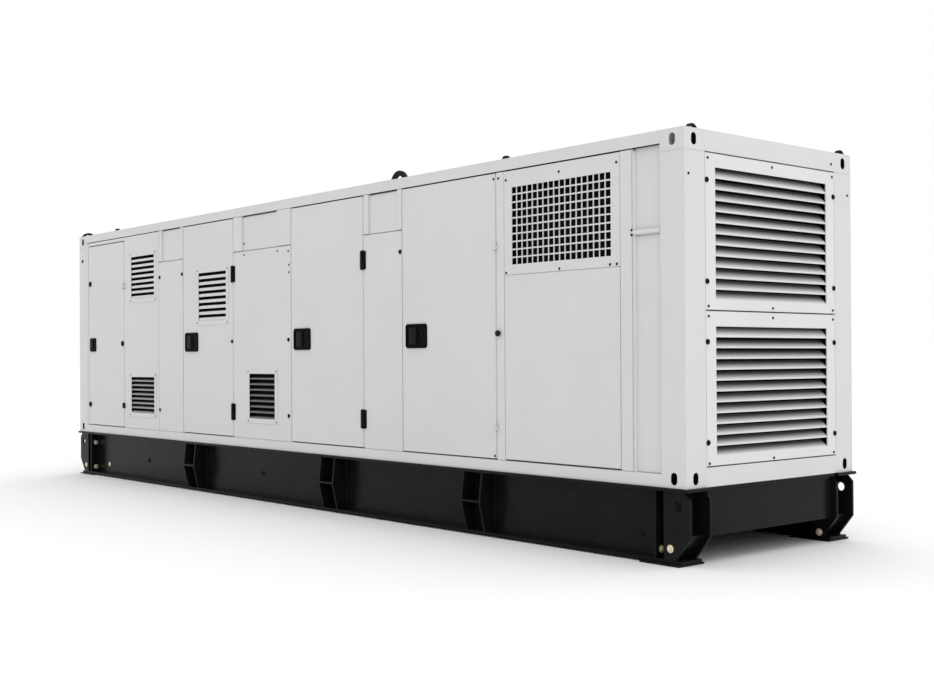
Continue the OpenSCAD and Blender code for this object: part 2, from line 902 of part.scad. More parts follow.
module door_a_hinges() color(black) door_hinges(door_a_bay, small_hinge_h, small_hinge_leaf);

module door_b_leaf() color(paint) door_b_slab();

module door_b_latch() color(black) latch(door_b_bay, latch_w, latch_h);

module door_b_hinges() color(black) door_hinges(door_b_bay, hinge_h, hinge_leaf);

module door_b_vent() color(paint) door_b_louvre();

module door_c_leaf() color(paint) door_slab(door_c_bay);

module door_c_latch() color(black) latch(door_c_bay, latch_w, latch_h);

module door_c_hinges() color(black) door_hinges(door_c_bay, hinge_h, hinge_leaf);

module door_d_leaf() color(paint) door_slab(door_d_bay);

module door_d_latch() color(black) latch(door_d_bay, latch_w, latch_h);

module door_d_hinges() color(paint) door_hinges(door_d_bay, small_hinge_h, small_hinge_leaf);

// Rear side, which repeats the front with its doors shut

module rear_side_panels() {
    color(paint)
        rear() {
            vent_panel_wall();
            service_panel_wall();
            radiator_panel_wall();
            corner_panel();
            wall_panel(bay_from(door_a_bay), bay_to(door_a_bay), wall_from, wall_to - door_a_head_h);
            difference() {
                wall_panel(bay_from(door_b_bay), bay_to(door_b_bay), wall_from, panel_to);
                vent_cut(door_vent_x, door_vent_z, door_vent_w, door_vent_h);
            }
            for (bay = [door_c_bay, door_d_bay])
                wall_panel(bay_from(bay), bay_to(bay), wall_from, panel_to);
        }
}

module rear_vents() {
    rear() {
        wall_vents();
        color(paint)
            door_b_louvre();
    }
}

module rear_latches() {
    color(black)
        rear() {
            latch(door_a_bay, small_latch, small_latch);
            for (bay = [door_b_bay, door_c_bay, door_d_bay])
                latch(bay, latch_w, latch_h);
        }
}

module rear_hinges() {
    color(black)
        rear() {
            frame_hinges();
            for (bay = [door_a_bay, door_d_bay])
                door_hinges(bay, small_hinge_h, small_hinge_leaf);
            for (bay = [door_b_bay, door_c_bay])
                door_hinges(bay, hinge_h, hinge_leaf);
        }
}

// Louvre panels across the ends

module louvre(z_from, z_to) {
    w = 2 * (end_half - louvre_side);
    h = z_to - z_from - 2 * louvre_edge;
    color(white_face)
        translate([half_l, 0, (z_from + z_to) / 2])
            rotate([0, 0, 90]) {
                difference() {
                    union() {
                        translate([-end_half + seam, 0, (z_from - z_to) / 2 + seam])
                            cube([2 * (end_half - seam), seam_d + overlap, z_to - z_from - 2 * seam]);
                        translate([-end_half, seam_d, (z_from - z_to) / 2])
                            cube([2 * end_half, louvre_d - seam_d, z_to - z_from]);
                    }
                    translate([-w / 2, -overlap, -h / 2])
                        cube([w, louvre_d + 2 * overlap, h]);
                    translate([-end_half + louvre_rim, louvre_plate_t, (z_from - z_to) / 2 + louvre_rim])
                        cube([2 * (end_half - louvre_rim), louvre_d, z_to - z_from - 2 * louvre_rim]);
                }
                slats(w + 2 * overlap, h, louvre_slats, louvre_d, lip_share, rise_share);
            }
}

module upper_right_louvre() louvre(louvre_seam_z + louvre_gap / 2, end_to - louvre_gap);

module lower_right_louvre() louvre(end_from + louvre_gap, louvre_seam_z - louvre_gap / 2);

module upper_left_louvre() mirror([1, 0, 0]) upper_right_louvre();

module lower_left_louvre() mirror([1, 0, 0]) lower_right_louvre();

skid_side_beams();
skid_end_beams();
stiffeners();
lifting_lugs();
beam_end_plates();
foot_plates();
floor_plate();
corner_posts();
corner_castings();
top_rails();
bottom_rails();
end_headers();
end_sills();
roof_panel();
roof_eyes();
side_posts();
infill_panels();
vent_panel();
service_panel();
radiator_panel();
radiator_grilles();
front_corner_panel();
front_vents();
door_frame_hinges();
rear_side_panels();
rear_vents();
rear_latches();
rear_hinges();
upper_right_louvre();
lower_right_louvre();
upper_left_louvre();
lower_left_louvre();
door_a_leaf();
door_a_latch();
door_a_hinges();
door_b_leaf();
door_b_latch();
door_b_hinges();
door_b_vent();
door_c_leaf();
door_c_latch();
door_c_hinges();
door_d_leaf();
door_d_latch();
door_d_hinges();
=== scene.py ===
import json
import math
import bpy
import numpy as np
from mathutils import Matrix, Vector


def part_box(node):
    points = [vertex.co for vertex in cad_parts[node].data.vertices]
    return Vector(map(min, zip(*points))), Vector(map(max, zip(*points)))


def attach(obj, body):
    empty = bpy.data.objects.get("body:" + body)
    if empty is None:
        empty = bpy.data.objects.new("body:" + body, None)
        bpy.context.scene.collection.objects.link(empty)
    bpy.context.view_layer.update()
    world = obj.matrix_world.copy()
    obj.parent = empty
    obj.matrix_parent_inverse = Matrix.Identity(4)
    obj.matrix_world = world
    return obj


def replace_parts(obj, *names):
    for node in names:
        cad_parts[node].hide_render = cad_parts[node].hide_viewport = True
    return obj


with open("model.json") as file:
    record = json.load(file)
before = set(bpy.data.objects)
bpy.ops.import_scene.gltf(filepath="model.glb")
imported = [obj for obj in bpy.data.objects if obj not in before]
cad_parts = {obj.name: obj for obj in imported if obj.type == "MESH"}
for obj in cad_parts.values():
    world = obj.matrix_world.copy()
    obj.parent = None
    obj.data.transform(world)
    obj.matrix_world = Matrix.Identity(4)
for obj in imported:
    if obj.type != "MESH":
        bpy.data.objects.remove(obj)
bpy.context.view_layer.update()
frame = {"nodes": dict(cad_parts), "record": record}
nodes = frame["nodes"]
mm = 0.001
doorNames = ["door_a", "door_b", "door_c", "door_d"]
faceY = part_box("top_rails")[0].y  # the door side's face
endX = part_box("end_headers")[1].x  # the radiator end's face
print("frame loaded with", len(nodes), "nodes")


# Meshes. A shape is a pair: an array of points and a list of face arrays, each with one corner count.

def gridFaces(rows, columns, closeRows=False, closeColumns=False):
    # quads between neighbours of a grid of points, wrapped where that side closes on itself
    row, column = np.meshgrid(np.arange(rows - (not closeRows)), np.arange(columns - (not closeColumns)),
                              indexing="ij")
    nextRow, nextColumn = (row + 1) % rows, (column + 1) % columns
    corners = [row * columns + column, nextRow * columns + column,
               nextRow * columns + nextColumn, row * columns + nextColumn]
    return np.stack(corners, -1).reshape(-1, 4)


def outward(shape):
    # the signed volume, summed over fans of triangles, is negative where the faces look inwards
    points, groups = shape
    volume = 0.0
    for faces in groups:
        first, second, third = points[faces[:, :1]], points[faces[:, 1:-1]], points[faces[:, 2:]]
        volume += (first * np.cross(second, third)).sum()
    return shape if volume > 0 else (points, [faces[:, ::-1] for faces in groups])


def circleLoop(sides):
    # a loop with no size of its own, so that a section's outward distance is its radius
    angle = np.arange(sides) * 2 * math.pi / sides
    directions = np.stack([np.cos(angle), np.sin(angle)], -1)
    return directions * 0, directions


def roundedLoop(width, height, radius, steps=6):
    # an arc at each corner of a rectangle: centre + radius (cos t, sin t), with t running a quarter turn
    angle = np.linspace(0, math.pi / 2, steps) + np.arange(4)[:, None] * math.pi / 2
    directions = np.stack([np.cos(angle), np.sin(angle)], -1)
    centres = np.array([[1, 1], [-1, 1], [-1, -1], [1, -1]]) * [width / 2 - radius, height / 2 - radius]
    points = centres[:, None] + radius * directions
    return points.reshape(-1, 2), directions.reshape(-1, 2)


def mitredLoop(width, height):
    # the corners of a rectangle, each moved outwards along its own diagonal
    corners = np.array([[1, 1], [-1, 1], [-1, -1], [1, -1]], float)
    return corners * [width / 2, height / 2], corners


def carriedRound(section, loop, closed=False):
    # a section of (outward, height) carried round a loop: point = loop + outward direction, at that height;
    # a section that doesn't close on itself is capped at both ends
    points, directions = loop
    out, height = np.array(section, float).T
    flat = points[None] + directions[None] * out[:, None, None]
    level = np.broadcast_to(height[:, None, None], flat.shape[:2] + (1,))
    rows, columns = flat.shape[:2]
    groups = [gridFaces(rows, columns, closed, True)]
    if not closed:
        ring = np.arange(columns)[None]
        groups += [ring[:, ::-1], ring + (rows - 1) * columns]
    return outward((np.concatenate([flat, level], -1).reshape(-1, 3), groups))


def crownedSlab(width, height, thickness, sharpness, steps=17):
    # height over the plate = thickness (1 - |u|^p)^(1/p) (1 - |v|^p)^(1/p), where p is the sharpness:
    # flat in the middle, round at its edges, on a flat back
    line = np.sin(np.linspace(-1, 1, steps) * math.pi / 2)
    u, v = np.meshgrid(line, line, indexing="ij")
    rise = ((1 - abs(u) ** sharpness) * (1 - abs(v) ** sharpness)) ** (1 / sharpness)
    points = np.stack([u * width / 2, v * height / 2, thickness * rise], -1).reshape(-1, 3)
    index = np.arange(steps * steps).reshape(steps, steps)
    rim = np.concatenate([index[0, :-1], index[:-1, -1], index[-1, :0:-1], index[:0:-1, 0]])
    return outward((points, [gridFaces(steps, steps), rim[None]]))


def carriedAlong(section, length):
    # a closed section of (depth, height) carried straight along x, with a cap at each end
    section = np.array(section, float)
    count = len(section)
    reach = np.repeat([-length / 2, length / 2], count)
    ring = np.arange(count)[None]
    points = np.column_stack([reach, np.tile(section, (2, 1))])
    return outward((points, [gridFaces(2, count, False, True), ring[:, ::-1], ring + count]))


def weldBead(start, end, radius, ripple, swell=0.15, sides=6):
    # a tube along a line: radius (1 - swell + swell |sin(pi s / ripple)|), drawn in over its ends
    start, end = np.array(start, float), np.array(end, float)
    length = np.linalg.norm(end - start)
    along = np.linspace(0, length, int(3 * length / ripple))  # three rings to a ripple
    ends = np.clip(np.minimum(along, length - along) / radius, 0.05, 1) ** 0.5
    reach = radius * ends * (1 - swell + swell * abs(np.sin(math.pi * along / ripple)))
    ahead = (end - start) / length
    side = np.cross(ahead, np.ones(3))  # square to the bead, which runs along an axis
    side /= np.linalg.norm(side)
    cosine, sine = circleLoop(sides)[1].T
    ring = np.outer(cosine, side) + np.outer(sine, np.cross(ahead, side))
    points = start + along[:, None, None] * ahead + reach[:, None, None] * ring
    cap = np.arange(sides)[None]
    groups = [gridFaces(len(along), sides, False, True), cap[:, ::-1], cap + sides * (len(along) - 1)]
    return outward((points.reshape(-1, 3), groups))


def placed(shape, places, turn=np.eye(3)):
    # copies of one shape, each turned by the matrix and moved to its place
    points, groups = shape
    places = np.array(places, float).reshape(-1, 3)
    moved = (points @ np.array(turn).T)[None] + places[:, None]
    step = np.arange(len(places))[:, None, None] * len(points)
    copies = [(faces[None] + step).reshape(-1, faces.shape[1]) for faces in groups]
    if np.linalg.det(turn) < 0:
        copies = [faces[:, ::-1] for faces in copies]
    return moved.reshape(-1, 3), copies


def joined(*shapes):
    # several shapes as one, with the later ones' corner numbers moved on
    starts = np.cumsum([0] + [len(points) for points, _ in shapes])
    groups = [faces + start for start, (_, faceSets) in zip(starts, shapes) for faces in faceSets]
    return np.concatenate([points for points, _ in shapes]), groups


rearward = np.diag([1, -1, 1])  # mirrors a shape to the rear side
endward = np.diag([-1, 1, 1])  # mirrors a shape to the other end


def mirrored(shape, mirror=rearward):
    # the mirror image alone
    return placed(shape, [(0, 0, 0)], mirror)


def withRear(shape):
    # the shape and its mirror image on the rear side
    return joined(shape, mirrored(shape))


def withFarEnd(shape):
    # the shape and its mirror image at the other end
    return joined(shape, mirrored(shape, endward))


def putPiece(name, shape, material, body="enclosure", sharpDeg=35):
    # the arrays become one mesh object at the origin that rides on a body
    points, groups = shape
    corners = np.concatenate([faces.ravel() for faces in groups])
    sizes = np.concatenate([np.full(len(faces), faces.shape[1]) for faces in groups])
    mesh = bpy.data.meshes.new(name)
    mesh.vertices.add(len(points))
    mesh.vertices.foreach_set("co", points.astype(np.float32).ravel())
    mesh.loops.add(len(corners))
    mesh.loops.foreach_set("vertex_index", corners.astype(np.int32))
    mesh.polygons.add(len(sizes))
    mesh.polygons.foreach_set("loop_start", (np.cumsum(sizes) - sizes).astype(np.int32))
    mesh.update(calc_edges=True)
    mesh.validate()
    mesh.shade_smooth()
    mesh.set_sharp_from_angle(angle=math.radians(sharpDeg))
    piece = bpy.data.objects.new(name, mesh)
    bpy.context.scene.collection.objects.link(piece)
    mesh.materials.append(material)
    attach(piece, body)
    return piece


toFront = np.array([[1, 0, 0], [0, 0, -1], [0, 1, 0]])  # a shape's height points out of the door side
toEnd = np.array([[0, 0, 1], [1, 0, 0], [0, 1, 0]])  # a shape's height points out of the radiator end
toInside = np.array([[1, 0, 0], [0, 0, 1], [0, 1, 0]])  # a shape's height points in from the door side
toFloor = np.diag([1, -1, -1])  # a shape's height points down
acrossEnd = np.array([[0, -1, 0], [1, 0, 0], [0, 0, 1]])  # a straight run lies across the end
upright = np.array([[0, 0, 1], [0, 1, 0], [1, 0, 0]])  # a straight run stands up


def onSide(spots, outMm=0):
    # places on the door side's face from (x, z) in mm
    x, z = np.array(spots, float).T * mm
    return np.stack([x, np.full(len(x), faceY - outMm * mm), z], -1)


def onEnd(spots):
    # places on the radiator end's face from (y, z) in mm
    y, z = np.array(spots, float).T * mm
    return np.stack([np.full(len(y), endX), y, z], -1)


# Materials

def linear(hexColour):
    # sRGB hex to linear light, with the standard's straight foot and power curve
    parts = [int(hexColour[i:i + 2], 16) / 255 for i in (1, 3, 5)]
    return [c / 12.92 if c <= 0.04045 else ((c + 0.055) / 1.055) ** 2.4 for c in parts] + [1.0]


def addNode(tree, kind, values=None, links=None, **settings):
    # one node with its settings, its fixed inputs and the sockets that feed the others
    node = tree.nodes.new(kind)
    for key, value in settings.items():
        setattr(node, key, value)
    for key, value in (values or {}).items():
        node.inputs[key].default_value = value
    for key, socket in (links or {}).items():
        tree.links.new(socket, node.inputs[key])
    return node


mottleRange = (0.3, 0.7)  # the part of the noise's own range that colour and gloss run over


def makeFinish(name, dark, light, mottleMm, grainMm, grainDepthMm, roughness, steady, edgeMm=0, paintedShade=None):
    # colour wanders between two hex values over mottleMm, the surface is grained at grainMm,
    # roughness is a pair that the same mottle moves between, edgeMm is how far an edge looks rounded,
    # and steady values go on the shader's own sockets;
    # the painted shade is a darker colour that grows from one distance along x to another, the same at both
    # ends of the set
    material = bpy.data.materials.new(name)
    material.use_nodes = True
    tree = material.node_tree
    tree.nodes.clear()
    place = addNode(tree, "ShaderNodeTexCoord").outputs["Object"]
    noise = {"Scale": 1000 / mottleMm, "Detail": 5.0, "Roughness": 0.6}
    mottle = addNode(tree, "ShaderNodeTexNoise", noise, {"Vector": place}).outputs["Fac"]
    colour = addNode(tree, "ShaderNodeValToRGB", links={"Fac": mottle})
    for stop, position, shade in zip(colour.color_ramp.elements, mottleRange, (dark, light)):
        stop.position, stop.color = position, linear(shade)
    shown = colour.outputs["Color"]
    # painted shade: the colour darkens along x towards the inside of the set
    if paintedShade:
        along = addNode(tree, "ShaderNodeSeparateXYZ", links={"Vector": place}).outputs["X"]
        along = addNode(tree, "ShaderNodeMath", links={0: along}, operation="ABSOLUTE").outputs[0]
        share = addNode(tree, "ShaderNodeMapRange", {"From Min": paintedShade["fromM"], "From Max": paintedShade["toM"]},
                        {"Value": along}).outputs["Result"]
        links = {"Factor": share, "A": shown}
        shown = addNode(tree, "ShaderNodeMix", {"B": linear(paintedShade["colour"])}, links,
                        data_type="RGBA").outputs["Result"]
    glossValues = {"From Min": mottleRange[0], "From Max": mottleRange[1],
                   "To Min": roughness[0], "To Max": roughness[1]}
    gloss = addNode(tree, "ShaderNodeMapRange", glossValues, {"Value": mottle})
    grain = addNode(tree, "ShaderNodeTexNoise", {"Scale": 1000 / grainMm, "Detail": 2.0}, {"Vector": place})
    links = {"Height": grain.outputs["Fac"]}
    if edgeMm:
        edge = addNode(tree, "ShaderNodeBevel", {"Radius": edgeMm * mm}, samples=4)
        links["Normal"] = edge.outputs["Normal"]
    bump = addNode(tree, "ShaderNodeBump", {"Strength": 0.5, "Distance": grainDepthMm * mm}, links)
    shader = addNode(tree, "ShaderNodeBsdfPrincipled", steady, {
        "Base Color": shown, "Roughness": gloss.outputs["Result"], "Normal": bump.outputs["Normal"]})
    addNode(tree, "ShaderNodeOutputMaterial", links={"Surface": shader.outputs["BSDF"]})
    return material


finishes = {
    # polyester powder coat on sheet steel: pale grey, an even satin with a faint orange peel
    "enclosure_paint": makeFinish("powderCoatPaleGrey", "#CBCBCA", "#CFCFCE", mottleMm=700,
                                  grainMm=6, grainDepthMm=0.05, roughness=(0.45, 0.52),
                                  steady={"IOR": 1.45}, edgeMm=4),
    # chassis enamel on rolled beams: black, with a weak image of the pale room in it at low angles
    "skid_paint": makeFinish("chassisEnamelBlack", "#101010", "#161616", mottleMm=260,
                             grainMm=5, grainDepthMm=0.1, roughness=(0.22, 0.3),
                             steady={"Specular IOR Level": 0.08}, edgeMm=3),
    # zinc plated and black coated hinge steel: deep black with a soft sheen
    "black_steel": makeFinish("blackCoatedSteel", "#060606", "#0B0B0B", mottleMm=30,
                              grainMm=2, grainDepthMm=0.08, roughness=(0.45, 0.55),
                              steady={"Specular IOR Level": 0.12}, edgeMm=1.5),
    # glass filled nylon, moulded with a fine spark grain: matt black
    "latch_plastic": makeFinish("mouldedNylonBlack", "#020202", "#050505", mottleMm=25,
                                grainMm=1.5, grainDepthMm=0.08, roughness=(0.5, 0.6),
                                steady={"Specular IOR Level": 0.05}, edgeMm=1.5),
}
# the same powder coat a shade lighter, as on the louvre panels,
# with painted shade that deepens behind the lips of the blades
bladeShade = {"fromM": endX - 0.005, "toM": endX - 0.046, "colour": "#5A5A5A"}
lighterPaint = makeFinish("powderCoatNearWhite", "#D1D1D0", "#D5D5D4", mottleMm=700,
                          grainMm=6, grainDepthMm=0.05, roughness=(0.45, 0.52),
                          steady={"IOR": 1.45}, edgeMm=2, paintedShade=bladeShade)
# powder coat painted mid grey: painted shade on the blades deep in a vent, and painted light inside the
# near ovals
paintedShadeGrey = makeFinish("powderCoatDustyGrey", "#8E8E8D", "#9A9A99", mottleMm=90,
                        grainMm=6, grainDepthMm=0.1, roughness=(0.6, 0.7), steady={"IOR": 1.45})
# darker blades of the intake vent, a deeper grey: painted shade
intakePaint = makeFinish("powderCoatDarkGrey", "#646463", "#727271", mottleMm=60,
                         grainMm=6, grainDepthMm=0.1, roughness=(0.6, 0.7), steady={"IOR": 1.45})
# fine black wire cloth stretched behind the openings: it swallows nearly all light;
# the same black is painted shade on the linings of the vents and ovals
screenClothAndShade = makeFinish("wireClothBlack", "#050505", "#0A0A0A", mottleMm=40,
                         grainMm=3, grainDepthMm=0.3, roughness=(0.8, 0.9),
                         steady={"Specular IOR Level": 0.1})
# charcoal acoustic foam: open cells, no shine at all
acousticFoam = makeFinish("acousticFoamCharcoal", "#232324", "#2D2D2F", mottleMm=60,
                          grainMm=5, grainDepthMm=1.5, roughness=(0.9, 1.0),
                          steady={"Specular IOR Level": 0.05})
# foamed rubber seal: dull black that closes the gap behind a door;
# the same black is painted shade under the top rails and on the door heads and sills
sealRubberAndGapShade = makeFinish("foamedRubberBlack", "#0D0D0D", "#141414", mottleMm=20,
                        grainMm=1, grainDepthMm=0.1, roughness=(0.7, 0.8),
                        steady={"Specular IOR Level": 0.2})
# moulded paddle, worn a little lighter than its case by hands
paddleNylon = makeFinish("handledNylonDarkGrey", "#0C0C0D", "#131314", mottleMm=30,
                         grainMm=1.5, grainDepthMm=0.06, roughness=(0.4, 0.5),
                         steady={"Specular IOR Level": 0.08}, edgeMm=2)
# yellow passivated zinc: warm, brassy bolts, their colour lifted towards white as a painted highlight
yellowZincAndHighlight = makeFinish("yellowZincSteel", "#D6C29C", "#F0E6D2", mottleMm=8,
                        grainMm=1.2, grainDepthMm=0.03, roughness=(0.3, 0.4), steady={"Metallic": 0.4})

for subpart in frame["record"]["subparts"]:
    for materialSlot in nodes[subpart["node"]].material_slots:
        materialSlot.material = finishes[subpart["material_slot"]]


def slotPiece(name, shape, slot, body="enclosure", sharpDeg=35):
    # a piece in the finish of one of the record's slots
    return putPiece(name, shape, finishes[slot], body, sharpDeg)


def secondFinish(mesh, material, picked):
    # another material on the faces whose centres the function picks
    mesh.materials.append(material)
    centres = np.empty(3 * len(mesh.polygons))
    mesh.polygons.foreach_get("center", centres)
    mesh.polygons.foreach_set("material_index", picked(centres.reshape(-1, 3)).astype(np.int32))


# the fourth door's hinges are painted over with the enclosure, and so is the first door's upper one
hingeSplitZ = 1.5  # over the lower hinges and under the upper ones
hingeReach = 0.1  # past the first door's edge, over the frame's half of its hinges
firstDoorTo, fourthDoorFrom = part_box("door_a_leaf")[1].x + hingeReach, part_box("door_d_leaf")[0].x
secondFinish(nodes["door_frame_hinges"].data, finishes["enclosure_paint"],
             lambda at: (at[:, 0] > fourthDoorFrom)
             | ((at[:, 0] < firstDoorTo) & (at[:, 2] > hingeSplitZ)))
secondFinish(nodes["door_a_hinges"].data, finishes["enclosure_paint"], lambda at: at[:, 2] > hingeSplitZ)
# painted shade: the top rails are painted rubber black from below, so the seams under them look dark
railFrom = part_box("top_rails")[0].z + mm
secondFinish(nodes["top_rails"].data, sealRubberAndGapShade, lambda at: at[:, 2] < railFrom)
print("finishes on the nodes")


# Vents, in place of the plain solids: face plates with sleeves, black linings as painted shade, and bent
# blades

panelMm = 50
vent = {"borderMm": 45, "plateMm": 4, "bevelMm": 1.5, "liningMm": 1, "bladeMm": 3, "blades": 8,
        "riseShare": 0.14}
# each vent: the middle of its opening along the side and above the floor, its width and height in mm,
# and the part of the blade spacing that the upright lip takes
wallVents = {"upperVent": (-2840.5, 2162, 525, 443, 0.47), "lowerVent": (-2840.5, 920, 525, 377, 0.32),
             "serviceVent": (-465, 953, 434, 407, 0.25)}
doorVent = (-1368, 1899, 528, 463.5, 0.48)


def ventShapes(x, z, width, height, lipShare):
    # the frame's section is the plate's edge, its face and the sleeve; the lining lies inside the sleeve,
    # black as painted shade
    border, plate, bevel, lining = [vent[key] for key in ("borderMm", "plateMm", "bevelMm", "liningMm")]
    deep = panelMm - plate
    loop = mitredLoop(width * mm, height * mm)
    frameSection = np.array([(0, plate), (border - bevel, plate), (border, plate - bevel), (border, 0),
                             (plate, 0), (plate, -deep), (0, -deep)]) * mm
    liningSection = np.array([(0, plate - bevel), (-lining, plate - bevel), (-lining, -deep),
                              (0, -deep)]) * mm
    middle = onSide([(x, z)])
    frameShape = placed(carriedRound(frameSection, loop, True), middle, toFront)
    liningShape = placed(carriedRound(liningSection, loop, True), middle, toFront)
    # a blade is an upright lip with a slope that runs in and up behind it
    pitch, thick = height / vent["blades"], vent["bladeMm"]
    lip, rise = lipShare * pitch, vent["riseShare"] * pitch
    blade = np.array([(0, 0), (thick, 0), (thick, lip - thick), (deep, lip + rise - thick),
                      (deep, lip + rise), (thick, lip), (0, lip - thick / 2)])
    foot = onSide([(x, z - height / 2 + step * pitch) for step in range(vent["blades"])])
    return frameShape, liningShape, placed(carriedAlong(blade * mm, width * mm), foot)


def makeVents():
    paint = finishes["enclosure_paint"]
    # the lower vent's and the intake vent's blades are painted greyer than the upper one's: painted shade
    bladeFinish = {"upperVent": paint, "lowerVent": paintedShadeGrey, "serviceVent": intakePaint}
    shapes = {name: ventShapes(*values) for name, values in wallVents.items()}
    frameShape, liningShape, blades = ventShapes(*doorVent)
    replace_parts(slotPiece("door_b_vent_frame", frameShape, "enclosure_paint", "door_b"), "door_b_vent")
    # the black lining is painted shade inside the sleeve
    putPiece("door_b_vent_lining", liningShape, screenClothAndShade, "door_b")
    slotPiece("door_b_vent_blades", blades, "enclosure_paint", "door_b")
    front = joined(*[shape[0] for shape in shapes.values()])
    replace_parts(slotPiece("vent_frames", front, "enclosure_paint"), "front_vents")
    rear = mirrored(joined(front, frameShape))
    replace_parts(slotPiece("rear_vent_frames", rear, "enclosure_paint"), "rear_vents")
    linings = joined(*[shape[1] for shape in shapes.values()])
    # the black linings are painted shade inside the sleeves
    putPiece("vent_linings", joined(withRear(linings), mirrored(liningShape)), screenClothAndShade)
    for name, finish in bladeFinish.items():
        putPiece(name + "_blades", withRear(shapes[name][2]), finish)
    putPiece("rear_door_vent_blades", mirrored(blades), paint)


# Louvres across the ends, in place of the plain solids: a plate with a turned rim and rounded blades

louvre = {"sideMm": 101, "plateMm": 8, "rimMm": 25, "seamMm": 3, "seamDeepMm": 6, "blades": 12,
          "bladeMm": 4, "bend": 1.2, "lapMm": 1, "topShare": 1.12}
# each level: the frame's height over and under the opening in mm,
# and a blade's height as a part of the blade spacing
louvreLevels = {"upper": (87, 58, 0.95), "lower": (96, 55, 0.8)}


def louvreShape(low, high, over, under, riseShare):
    # a plate with a turned rim, carried round the opening, and blades carried straight across it
    side, plate, rim, seam = [louvre[key] for key in ("sideMm", "plateMm", "rimMm", "seamMm")]
    step, thick, lap = louvre["seamDeepMm"], louvre["bladeMm"], louvre["lapMm"]
    wide, tall, deep = [(high[axis] - low[axis]) / mm for axis in (1, 2, 0)]
    openWide, openTall = wide - 2 * side, tall - over - under
    # the section's outward distance is a share of the frame's width, which differs from edge to edge
    section = np.array([(0, 0), (1 - seam / side, 0), (1 - seam / side, -step), (1, -step), (1, -deep),
                        (1 - rim / side, -deep), (1 - rim / side, -plate), (0, -plate)]) * [1, mm]
    points, corners = mitredLoop(openWide * mm, openTall * mm)
    borders = np.array([(side, over), (side, over), (side, under), (side, under)]) * mm
    middle = (high[1] + low[1]) / 2, low[2] + (under + openTall / 2) * mm
    loop = points, corners * borders
    frameShape = placed(carriedRound(section, loop, True), [(high[0], *middle)], toEnd)
    # a blade's section: in = deep u^bend, up = rise u, and the same one a thickness smaller;
    # the top blade is taller and ends behind the frame
    pitch, curve = openTall / louvre["blades"], np.linspace(0, 1, 14)
    bend = curve ** louvre["bend"]
    feet = middle[1] + (np.arange(louvre["blades"]) * pitch - openTall / 2) * mm
    places = np.stack([feet * 0 + high[0], feet * 0 + middle[0], feet], -1)
    shapes = [frameShape]
    for rise, spots in ((riseShare * pitch, places[:-1]), (louvre["topShare"] * pitch, places[-1:])):
        outer = np.stack([deep * bend, rise * curve], -1)
        inner = np.stack([thick + (deep - thick) * bend, (rise - thick) * curve], -1)
        blade = carriedAlong(np.concatenate([outer, inner[::-1]]) * mm, (openWide + 2 * lap) * mm)
        shapes.append(placed(blade, spots, acrossEnd))
    return joined(*shapes)


def makeLouvres():
    for level, values in louvreLevels.items():
        shape = louvreShape(*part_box(level + "_right_louvre"), *values)
        for end, turned in (("right", shape), ("left", mirrored(shape, endward))):
            node = level + "_" + end + "_louvre"
            # the blades' paint carries painted shade that deepens towards the inside
            piece = putPiece(node + "_blades", turned, lighterPaint)
            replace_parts(piece, node)


makeVents()
makeLouvres()
print("vents and louvres made")


# Screens behind the louvres, vents and grilles

screen = {"thickMm": 8, "lapMm": 14, "grilleBackMm": 60, "grilleEdgeMm": 40, "rimMm": 12, "sharpness": 40}


def ventScreen(x, z, width, height, _):
    # a crowned slab a little larger than the opening, on the back of the panel
    lap = 2 * screen["lapMm"]
    slab = crownedSlab((width + lap) * mm, (height + lap) * mm, screen["thickMm"] * mm,
                       screen["sharpness"])
    return placed(slab, onSide([(x, z)], -panelMm), toInside)


def makeScreens():
    rim, thick, sharpness = screen["rimMm"] * mm, screen["thickMm"] * mm, screen["sharpness"]
    slabs = []
    for name in ("upper_right_louvre", "lower_right_louvre"):
        low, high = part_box(name)
        slab = crownedSlab(high.y - low.y - 2 * rim, high.z - low.z - 2 * rim, thick, sharpness)
        slabs.append(placed(slab, [(low.x - thick, 0, (low.z + high.z) / 2)], toEnd))
    putPiece("louvre_screens", withFarEnd(joined(*slabs)), screenClothAndShade)

    low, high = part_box("radiator_grilles")
    edge = 2 * screen["grilleEdgeMm"] * mm
    slab = crownedSlab(high.x - low.x - edge, high.z - low.z - edge, thick, sharpness)
    middle = ((low.x + high.x) / 2, low.y + screen["grilleBackMm"] * mm, (low.z + high.z) / 2)
    putPiece("grille_screens", withRear(placed(slab, [middle], toInside)), screenClothAndShade)

    front = joined(*[ventScreen(*values) for values in wallVents.values()])
    door = ventScreen(*doorVent)
    putPiece("vent_screens", joined(withRear(front), mirrored(door)), screenClothAndShade)
    putPiece("door_b_vent_screen", door, screenClothAndShade, "door_b")


makeScreens()
print("screens made")


# Black linings of the oval holes in the castings and post feet: painted shade in the hollows

oval = {"widthMm": 50, "heightMm": 78, "edgeMm": 94, "deepMm": 44, "wallMm": 2, "clearMm": 0.3,
        "topDropMm": 67, "footRiseMm": 58}


